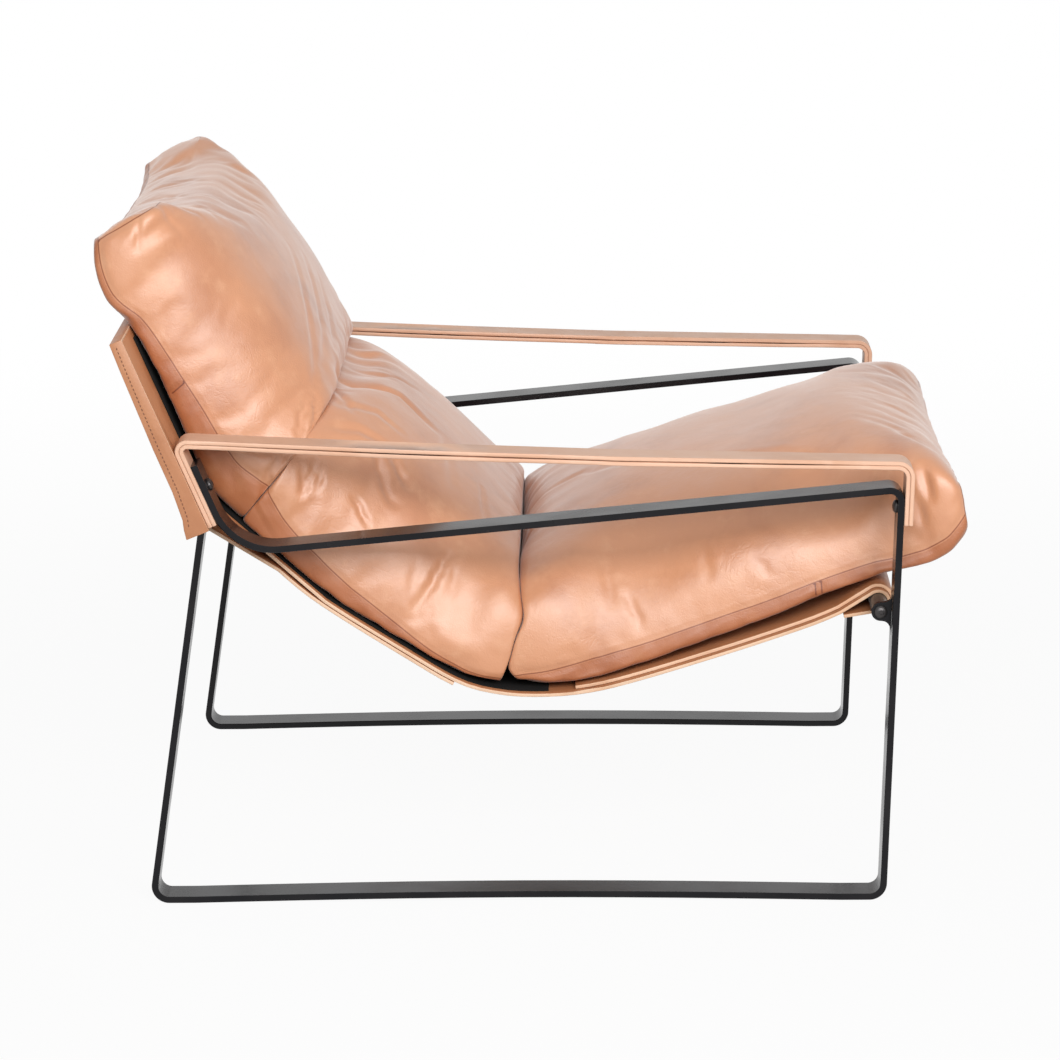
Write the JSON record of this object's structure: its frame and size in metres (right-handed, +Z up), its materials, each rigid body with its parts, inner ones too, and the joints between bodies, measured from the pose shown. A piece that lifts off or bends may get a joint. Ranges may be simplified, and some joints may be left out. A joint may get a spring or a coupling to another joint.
{
  "type": "lounge chair",
  "caption": "Low lounge chair with bent flat-bar side frames, a hanging leather sling, leather strap arms and soft leather seat and back cushions.",
  "frame": {"origin": "on the floor, under the middle of the chair's overall box", "axes": "+X to the front of the chair, +Y to the sitter's left, +Z up"},
  "size_m": [0.9172, 0.7052, 0.7449],
  "materials": {
    "frame": "black powder coat, satin",
    "rod": "blackened steel, satin",
    "hardware": "black oxide, low gloss",
    "cushion_leather": "pull-up aniline leather, waxed, soft sheen",
    "sling_leather": "thick saddle leather, soft sheen",
    "strap_leather": "vegetable-tanned strap leather, raw pale edges",
    "canvas": "black canvas, matt"
  },
  "bodies": {
    "root": {"arm_strap_lining_left": "strap_leather", "arm_strap_lining_right": "strap_leather", "arm_strap_top_left": "strap_leather", "arm_strap_top_right": "strap_leather", "back_cushion_lower": "cushion_leather", "back_cushion_upper": "cushion_leather", "back_top_bar": "frame", "front_rod": "rod", "knee_rod": "rod", "rod_screw_left": "hardware", "rod_screw_right": "hardware", "rod_tab_left": "frame", "rod_tab_right": "frame", "seat_cushion": "cushion_leather", "side_frame_left": "frame", "side_frame_right": "frame", "sleeve_back_panel": "sling_leather", "sleeve_front_panel": "sling_leather", "sleeve_gusset": "sling_leather", "sling": "sling_leather", "sling_seat_facing": "sling_leather", "strap_bolt_rear_left": "hardware", "strap_bolt_rear_right": "hardware", "strap_nut_front_left": "hardware", "strap_nut_front_right": "hardware", "strap_nut_rear_left": "hardware", "strap_nut_rear_right": "hardware", "strap_screw_front_left": "hardware", "strap_screw_front_right": "hardware", "support_lining": "canvas"}
  },
  "joints": []
}
